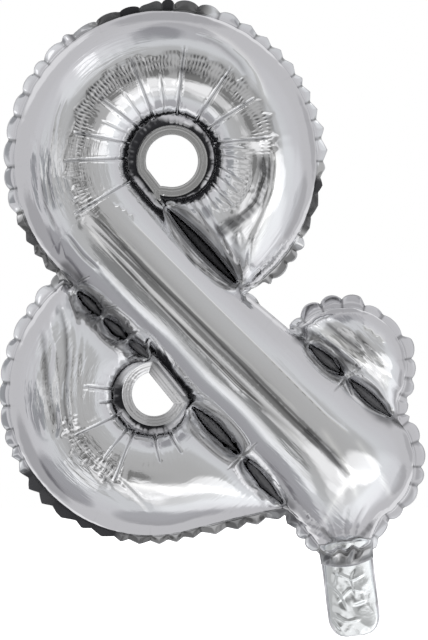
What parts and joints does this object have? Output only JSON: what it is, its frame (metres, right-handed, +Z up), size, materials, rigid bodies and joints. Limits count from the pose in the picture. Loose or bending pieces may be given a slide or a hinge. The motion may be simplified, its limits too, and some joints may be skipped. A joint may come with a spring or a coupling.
{
  "type": "ampersand foil balloon",
  "caption": "Silver foil balloon shaped as an ampersand, air-filled, with a puckered welded rim, open eyes, part-welded slits between its strokes and a flat filling neck.",
  "frame": {"origin": "middle of the envelope's outline, on the weld plane, where the air or a hanging line holds the balloon", "axes": "+Z up, along the sign's height; +X to the viewer's right; the front faces -Y"},
  "size_m": [0.2738, 0.0754, 0.4084],
  "materials": {
    "silver_film": "mirror-bright metallised film",
    "weld_film": "crimped metallised film"
  },
  "bodies": {
    "root": {"front_panel": "silver_film", "back_panel": "silver_film", "neck_front_ply": "silver_film", "neck_back_ply": "silver_film", "outer_rim": "weld_film", "upper_eye_rim": "weld_film", "lower_eye_rim": "weld_film", "upper_right_web": "weld_film", "left_web_a": "weld_film", "left_web_b": "weld_film", "left_web_c": "weld_film", "lower_web_a": "weld_film", "lower_web_b": "weld_film", "arm_web_a": "weld_film", "arm_web_b": "weld_film", "neck_left_weld": "weld_film", "neck_right_weld": "weld_film", "neck_root_fold": "weld_film"}
  },
  "joints": []
}
